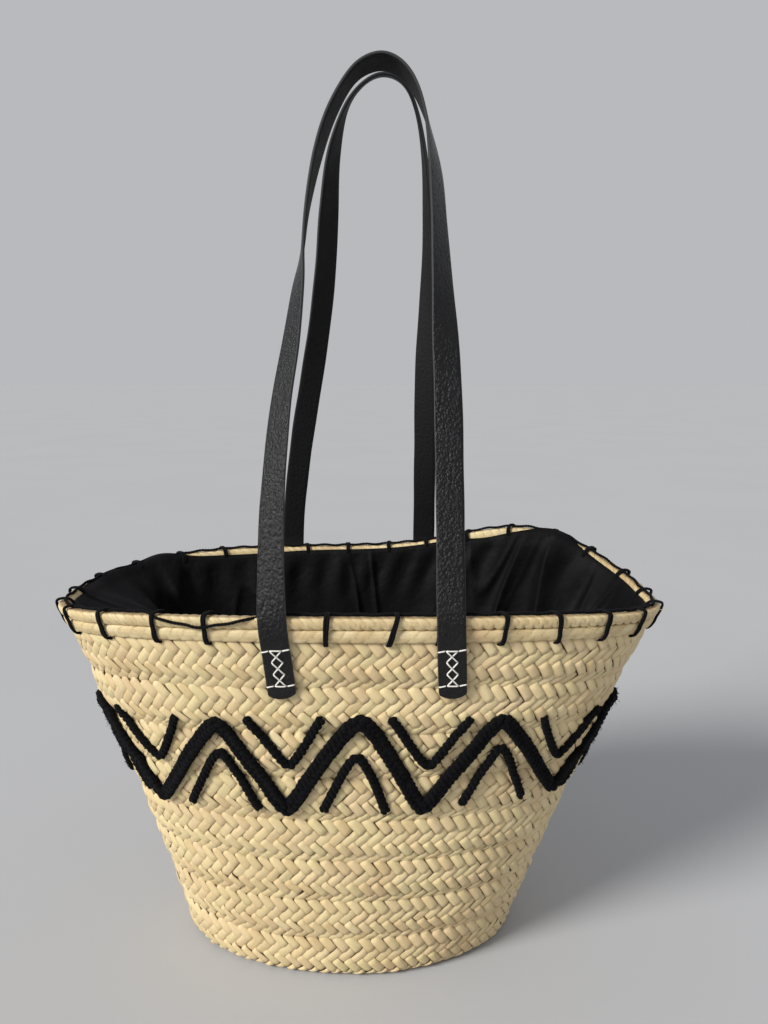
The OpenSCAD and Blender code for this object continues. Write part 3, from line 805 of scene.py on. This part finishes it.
def zigzag_braid():
    """The thick braid of three plies all the way round, with loose hairs."""
    count = np.linspace(0, ZIGZAGS, 6001)
    share, level = zigzag_share(count), zigzag_level(count)
    near_front = (count + ZIGZAGS / 2) % ZIGZAGS - ZIGZAGS / 2
    share = share + np.interp(near_front, ZIGZAG_CORNERS, CORNER_SHIFT) / EMBROIDERY_WALK[2]
    level = level + np.interp(near_front, ZIGZAG_CORNERS, CORNER_RISE) / RIM_HEIGHT
    share, level, at, whole = even(share, level, 1.05, True)
    line, normal = laid_frame(share, level, BRAID_LIFT)
    tubes = plies(line, normal, at, whole, 3, 3.6, 0.8, 13.0, 2.7, True)
    tubes += [hair(line, normal, 5.2) for _ in range(BRAID_HAIRS)]
    return tubes_piece("zigzag_wool_braid", tubes, WOOL, "black_wool", "zigzag_braid", rough=0.16)


def chevrons(name, node, start, half, point, ends, uneven):
    """A row of V-shaped cords; point and ends are levels, and half is half of one's width in zigzags."""
    tubes = []
    for k in range(ZIGZAGS):
        first, middle, final, rise = uneven.get(k, (*RNG.normal(0, 1.5, 3), RNG.normal(0, 0.8)))
        offset = np.linspace(-half, half, 240) * (1 + RNG.normal(0, 0.02))
        shift = np.interp(offset, (-half, 0, half), (first, middle, final))
        share = zigzag_share(k + start + offset) + shift / EMBROIDERY_WALK[2]
        level = chevron_level(offset, half, point, ends + RNG.normal(0, 0.003)) + rise / RIM_HEIGHT
        level = level + 0.002 * np.sin(18 * offset + k)
        share, level, at, whole = even(share, level, 0.95, False)
        line, normal = laid_frame(share, level, CORD_LIFT)
        tubes += plies(line, normal, at, whole, 2, 1.6, 1.1, 9.0, 2.2, False)
        tubes += [hair(line, normal, 3.0) for _ in range(CORD_HAIRS)]
    return tubes_piece(name, tubes, WOOL, "black_wool", node, rough=0.14)


# ---- lining ----
LINING_ROWS, LINING_STEPS = 72, 900
LINING_FOOT = 7.0
LINING_GAP = -6.4  # the cloth lies this far inside the wall's line
LINING_RAISED = 1 - 2.2 / RIM_HEIGHT  # it is sewn up over the inside of the roll
OVER_ROLL, LAP = 1.3, 6.5  # over the inside and the top of the roll
# folds that hang from the sewn edge: [share of the way round, width in shares, depth in millimetres, lean]
FOLDS = [
    (0.08, 0.014, 5, 0.3), (0.17, 0.010, 8, -0.5), (0.225, 0.008, 12, 0.4), (0.262, 0.012, 9, -0.5),
    (0.300, 0.007, 10, 0.4), (0.338, 0.011, 20, -0.8), (0.362, 0.006, 11, 0.3), (0.43, 0.016, 6, 0.4),
    (0.52, 0.020, 4, -0.3), (0.60, 0.014, 6, 0.5), (0.665, 0.009, 8, -0.6), (0.71, 0.010, 14, 0.5),
    (0.745, 0.012, 12, -0.4), (0.785, 0.008, 9, 0.3), (0.86, 0.014, 6, 0.3), (0.94, 0.012, 4, -0.4)]
# where the sewn edge stands above or below its usual height at the back: [place to the right, width, rise]
EDGE_RISES = [(-188, 20, 6.0), (-225, 14, 3.6), (-110, 44, -2.2), (120, 24, -3.4), (178, 22, 4.6)]
# the cloth is short at the left end, and crosses the corner well inside the wall: share, width, millimetres
END_SLACK = (0.742, 0.042, 52.0)


def hung_folds(share, t):
    """How far the folds stand in, by share of the way round and share of the height."""
    folds = np.zeros(np.broadcast_shapes(share.shape, t.shape))
    for place, width, depth, lean in FOLDS:
        wander = 0.05 * lean * (1 - t) + 0.006 * np.sin(7 * t + 40 * place)
        gap = ((share - place - wander + 0.5) % 1 - 0.5) / (width * (0.8 + 0.9 * (1 - t)))
        ridge = np.exp(-np.abs(gap) ** 1.35)
        folds = folds + depth * ridge * (0.45 + 0.55 * np.sin(math.pi * np.clip(t * 1.1, 0, 1)))
    return folds


def lining():
    """The cloth round the inside, hung from the rim; its last row laps over the roll."""
    share = shares(LINING_STEPS)[:, None]
    t = np.minimum(np.linspace(0, 1 + 1 / (LINING_ROWS - 2), LINING_ROWS), 1)[None]
    last = np.arange(LINING_ROWS)[None] == LINING_ROWS - 1
    angles = angle_at(share, RIM_WALK)
    slack = smooth(np.minimum(t / 0.2, (1.0 - t) / 0.07 + 0.06))
    folds = hung_folds(share, t)
    pucker = 1.5 * np.sin(TURN * (43 * share + 0.5 * np.sin(6 * t))) * smooth((t - 0.8) / 0.15)
    slope = 9 * t + 4 * np.sin(TURN * 3 * share) + 1.5 * np.sin(TURN * 11 * share)
    creases = 4.0 * (1 - np.abs(np.sin(slope))) ** 4 * np.sin(TURN * 5 * share + 2 * t) ** 2
    inward = slack * np.maximum(folds + pucker + creases + 1.2, 0.2)
    corner = np.exp(-(((share - END_SLACK[0]) / END_SLACK[1]) ** 2)) * smooth((1 - t) / 0.10)
    inward = inward + END_SLACK[2] * corner * smooth((t - 0.3) / 0.5)
    rim_x, rim_y = np.moveaxis(wall(angles, 1.0), -1, 0)[:2]
    edge_rise = sum(rise * np.exp(-(((rim_x - x) / width) ** 2)) for x, width, rise in EDGE_RISES)
    edge_rise = edge_rise * (rim_y > 0)
    u = mix(LINING_FOOT / RIM_HEIGHT, LINING_RAISED, t) + edge_rise * t**8 / RIM_HEIGHT
    over_roll = OVER_ROLL * smooth((u - WALL_TOP) / (0.75 * RIM_ROW))
    lapped = np.where(last, 0.5 + LAP * np.clip(edge_rise / 3.0, 0, 1), 0.0)
    points = wall(angles, u, LINING_GAP - over_roll - inward + lapped)
    points[:, 0, 2] = LINING_FOOT
    fibre = columns(share * RIM_WALK[2], t * RIM_HEIGHT, 0.0)
    faces = grid_faces(LINING_STEPS, LINING_ROWS, wrap_rows=True)
    thing = make_mesh("cotton_lining_side", points, faces, COTTON, {"fibre": fibre})
    return add_piece(thing, "black_cotton", "lining_side")


FLOOR_CLOTH_RINGS, FLOOR_CLOTH_STEPS = 26, 180


def lining_floor():
    """The cloth on the floor, a little creased; its edge reaches just under the side cloth."""
    share = shares(FLOOR_CLOTH_STEPS)[:, None]
    t = np.linspace(0, 1, FLOOR_CLOTH_RINGS)[None]
    edge = wall(angle_at(share, RIM_WALK), LINING_FOOT / RIM_HEIGHT, LINING_GAP + 0.3)
    middle = edge.mean(0, keepdims=True)
    points = middle + (edge - middle) * t[..., None]
    crease = 0.8 * np.sin(0.09 * points[..., 0] + 1.2 * np.sin(0.05 * points[..., 1]))
    points[..., 2] = LINING_FOOT - 0.1 + np.abs(crease) * (1 - t**6)
    fibre = points * np.array([1, 1, 0])
    faces = grid_faces(FLOOR_CLOTH_STEPS, FLOOR_CLOTH_RINGS, wrap_rows=True)
    thing = make_mesh("cotton_lining_floor", points, faces, COTTON, {"fibre": fibre})
    return add_piece(thing, "black_cotton", "lining_base")


# ---- straps ----
def wall_y(x, u, out):
    """Distance to the side of the wall at a place along it."""
    length, width, _, _ = plan(0.0, u)
    power = mix(*SQUARENESS, u)
    return (width + out) * (1 - np.abs((x + BASE_SHIFT * (1 - u)) / (length + out)) ** power) ** (1 / power)


def end_middle(side, foot_x, drift, drop, lift):
    """Middle of a sewn strap end, `drop` below the line where the strap bends."""
    z = HINGE_Z - drop
    x = foot_x + drift * drop / STRAP_END
    u = z / (RIM_HEIGHT + FRONT_RISE)
    rest = mix(RIM_PROUD, BELLY - SEAM_DEPTH, smooth((drop - RIM_ROWS) / RIM_ROWS))
    y = np.minimum(HINGE_Y + lift + 0.9, wall_y(x, u, rest + 0.6 + STRAP / 2 + lift))
    return columns(x, side * y, z)


def strap_section():
    """A strap's section from -1 to 1 each way, and how far each point is a cut edge and the inner side."""
    half = STRAP / STRAP_WIDTH
    top = [(v * (1 - 0.35 * half), 1.0 - 0.10 * abs(v) ** 6) for v in np.linspace(-1, 1, 10)]
    right = [(1, 0.82), (1 + 0.12 * half, 0.35), (1 + 0.12 * half, -0.35)]
    outline = top + right + [(-a, -b) for a, b in top + right]
    marks = [0] * 10 + [1] * 3 + [0] * 10 + [1] * 3
    under = [0] * 11 + [0.5] + [1] * 12 + [0.5, 0]
    return np.array(outline), np.array(marks, float), np.array(under, float)


UPPER_STEPS = 260
# rings down a sewn end, closer together where its tip is rounded
END_DROPS = np.concatenate([np.linspace(2, STRAP_END - 14, 22),
                            STRAP_END - np.array([12, 10, 8, 6, 4.4, 3, 2, 1.2, 0.6, 0.2])])


def sewn_end(side, foot_x, drift):
    """Middle line, share of the full width and direction out of the leather, down one sewn end."""
    line = end_middle(side, foot_x, drift, END_DROPS, 0.0)
    into_tip = np.clip(END_ROUNDING - (STRAP_END - END_DROPS), 0, None)
    width = np.sqrt(np.clip(END_ROUNDING**2 - into_tip**2, 0.2, None)) / (STRAP_WIDTH / 2)
    return line, np.minimum(1.0, width), unit(end_middle(side, foot_x, drift, END_DROPS, 1.0) - line)


def softened(values, where):
    return (values[where - 1] + 2 * values[where] + values[where + 1]) / 4


def strap(name, side, route, nodes):
    """One handle with its two sewn ends, as one length of leather."""
    out_dir = np.array([0, side * math.cos(LEAN), math.sin(LEAN)])
    lean_dir = np.array([0, -side * math.sin(LEAN), math.cos(LEAN)])
    places = resample(route, UPPER_STEPS)
    upper = places[:, :1] * np.array([1, 0, 0]) + places[:, 1:2] * lean_dir
    upper = upper + np.array([0, side * HINGE_Y, HINGE_Z])
    away = unit(np.cross(out_dir, unit(np.gradient(upper, axis=0)))) * -side
    turn = np.radians(places[:, 2:])
    middle = (upper, np.ones(UPPER_STEPS), out_dir * np.cos(turn) + away * np.sin(turn))
    left, right = (sewn_end(side, route[i][0], FOOT_DRIFT[(side, i)]) for i in (0, -1))
    line, width, face = (np.concatenate([a[::-1], b, c]) for a, b, c in zip(left, middle, right))
    ends, last = len(END_DROPS), len(line) - len(END_DROPS)
    inner = np.arange(ends - 9, last + 9)
    bends = np.r_[ends - 12:ends + 14, last - 14:last + 12]
    for i in range(14):
        if i < 2:
            line[inner] = softened(line, inner)
        line[bends] = softened(line, bends)
        face[bends] = unit(softened(face, bends))
    ahead = unit(np.gradient(line, axis=0))
    wide = unit(np.cross(ahead, face))
    face = unit(np.cross(wide, ahead))
    outline, edge, under = strap_section()
    along = travelled(line)
    ripple = 1 + 0.012 * np.sin(along * 0.11) + 0.01 * np.sin(along * 0.037 + side)
    across = outline[:, 0] * (width * ripple)[:, None] * STRAP_WIDTH / 2
    thick = np.broadcast_to(outline[:, 1] * STRAP / 2, across.shape)
    points = line[:, None] + wide[:, None] * across[..., None] + face[:, None] * thick[..., None]
    fibre = columns(across, along[:, None], thick + side * 40)
    marks = {"fibre": fibre, "edge": np.tile(edge, len(line)), "flesh": np.tile(under, len(line))}
    thing = make_mesh(name, points, tube_faces(len(line), len(outline), False), LEATHER, marks)
    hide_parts(*nodes)
    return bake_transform(thing)


STITCH_ROWS, STITCH_PITCH, STITCH_GAUGE, STITCH_THREAD, STITCH_STEPS = 4, 9.0, 8.0, 0.55, 12


def strap_stitches(name, side, foot_x, drift, node):
    """Three crosses between two columns of holes, with a dash out to each edge above and below them."""

    def hole(column, row):
        drop = STRAP_END - END_TAIL - row * STITCH_PITCH
        middle = end_middle(side, foot_x, drift, drop, STRAP / 2)
        return middle + np.array([column * STITCH_GAUGE / 2, 0, 0])

    def stitch(a, b, over):
        """Out of one hole, along the leather and into the next."""
        t = np.linspace(0, 1, STITCH_STEPS)[:, None]
        outward = np.array([0.0, side, 0.0])
        arch = np.clip(np.minimum(t, 1 - t) * 9, 0, 1) * (0.55 + over) - 0.5
        path = mix(hole(*a), hole(*b), t) + outward * arch
        sag = np.array([0, 0, 1]) * RNG.normal(0, 0.12) * np.sin(math.pi * t)
        return path + sag, np.tile(outward, (STITCH_STEPS, 1)), STITCH_THREAD, STITCH_THREAD * 0.9, 8, False

    tubes = []
    for row in range(STITCH_ROWS - 1):
        tubes.append(stitch((-1, row), (1, row + 1), 0.0))
        tubes.append(stitch((1, row), (-1, row + 1), 0.75))
    for row in (0, STITCH_ROWS - 1):
        tubes.append(stitch((-1, row), (1, row), 0.3))
        for column in (-1, 1):
            edge = (column * STRAP_WIDTH / STITCH_GAUGE * 0.985, row + 0.12 * column)
            tubes.append(stitch((column * 1.2, row), edge, 0.2))
    return tubes_piece(name, tubes, THREAD, "waxed_thread", node)


# ---- wisps: loose ends of palm fibre ----
WISPS, WISP_STEPS = 150, 6


def wisps():
    """Fine slivers of leaf that have come free of the plait and the rim."""
    parts, fibres, tones = [], [], []
    for i in range(WISPS):
        at_rim = i % 3 == 0
        share = RNG.uniform(0, 1)
        u = RNG.uniform(0.955, 0.995) if at_rim else RNG.uniform(0.03, 0.93)
        table = RIM_WALK if at_rim else EMBROIDERY_WALK
        length = RNG.uniform(3, 8)
        heading = RNG.uniform(-1, 1)
        t = np.linspace(0, 1, WISP_STEPS)
        at = share + heading * t * length / table[2]
        levels = u + (0.6 - abs(heading)) * t * length / RIM_HEIGHT
        out = (RIM_PROUD if at_rim else 0.7) + RNG.uniform(0.6, 2.4) * t**1.5
        line, normal = on_wall(angle_at(at, table), levels, out)
        parts.append(tube(line, normal, 0.22 * (1 - 0.8 * t) + 0.05, 0.07, 4))
        count = len(parts[-1][0])
        fibres.append(np.tile([0.1, 0.1, float(i)], (count, 1)))
        tones.append(np.full(count, RNG.uniform(0.4, 1)))
    points, faces = join(parts)
    marks = {"fibre": np.vstack(fibres), "tone": np.concatenate(tones)}
    return add_piece(make_mesh("loose_palm_fibres", points, faces, STRAW, marks), "palm_plait")


# ---- build ----
for course in range(COURSES):
    wall_course(course)
for oval in range(3):
    floor_course(oval)
rim_roll("rim_lower_row", WALL_TOP - 0.003, WALL_TOP + RIM_ROW * 1.04, -PLAIT, RIM_PROUD - 0.3,
         pitch=11.0, depth=0.20, twist=-1.8, node="rim_band")
rim_roll("rim_upper_roll", WALL_TOP + RIM_ROW * 0.97, 1.0, -PLAIT - 1.0, RIM_PROUD + 0.1,
         pitch=7.4, depth=0.42, twist=2.6, node="rim_roll")
rim_stitches()
rim_yarn()
zigzag_braid()
chevrons("upper_wool_chevrons", "upper_chevrons", 0.52, 0.27, 0.620, 0.742, UPPER_UNEVEN)
chevrons("lower_wool_chevrons", "lower_chevrons", 0.0, 0.235, 0.655, 0.508, LOWER_UNEVEN)

side_cloth = lining()
floor_cloth = lining_floor()

for word, side, route in (("front", -1, FRONT_ROUTE), ("back", 1, BACK_ROUTE)):
    ends = [f"{word}_left_strap_end", f"{word}_right_strap_end"]
    strap(f"{word}_leather_strap", side, route, [f"{word}_strap", *ends])
    for index, hand in ((0, "left"), (-1, "right")):
        strap_stitches(f"{word}_{hand}_thread", side, route[index][0], FOOT_DRIFT[(side, index)],
                       f"{word}_{hand}_stitching")
wisps()

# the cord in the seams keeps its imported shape
seam_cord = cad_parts["sewing_cord"]
seam_cord.data.materials.clear()
seam_cord.data.materials.append(cord_material())

# ---- studio ----
bpy.ops.mesh.primitive_plane_add(size=80, location=(0, 0, 0))
floor = bpy.context.object
floor.name = "studio_floor"
floor.data.materials.append(FLOOR)

world = bpy.data.worlds.new("studio")
world.use_nodes = True
background = world.node_tree.nodes["Background"].inputs
background["Color"].default_value = (0.70, 0.71, 0.735, 1)
background["Strength"].default_value = 0.69
scene.world = world

# one soft distant light from the left and the front
KEY_HEADING = (1.0, 0.66, -0.72)
key = bpy.data.lights.new("key", "SUN")
key.energy, key.angle, key.color = 3.5, math.radians(20), (1.0, 0.98, 0.94)
lamp = bpy.data.objects.new("key", key)
lamp.rotation_euler = (math.acos(-KEY_HEADING[2] / math.hypot(*KEY_HEADING)), 0,
                       math.atan2(-KEY_HEADING[0], KEY_HEADING[1]))
scene.collection.objects.link(lamp)

camera = bpy.data.objects.new("camera", bpy.data.cameras.new("camera"))
camera.data.lens = 27.02
camera.data.sensor_width = 36
camera.location = (0.0185, -0.6109, 0.4650)
camera.rotation_euler = (math.radians(79.97), math.radians(-0.17), 0)
scene.collection.objects.link(camera)
scene.camera = camera
scene.view_settings.view_transform = "Standard"
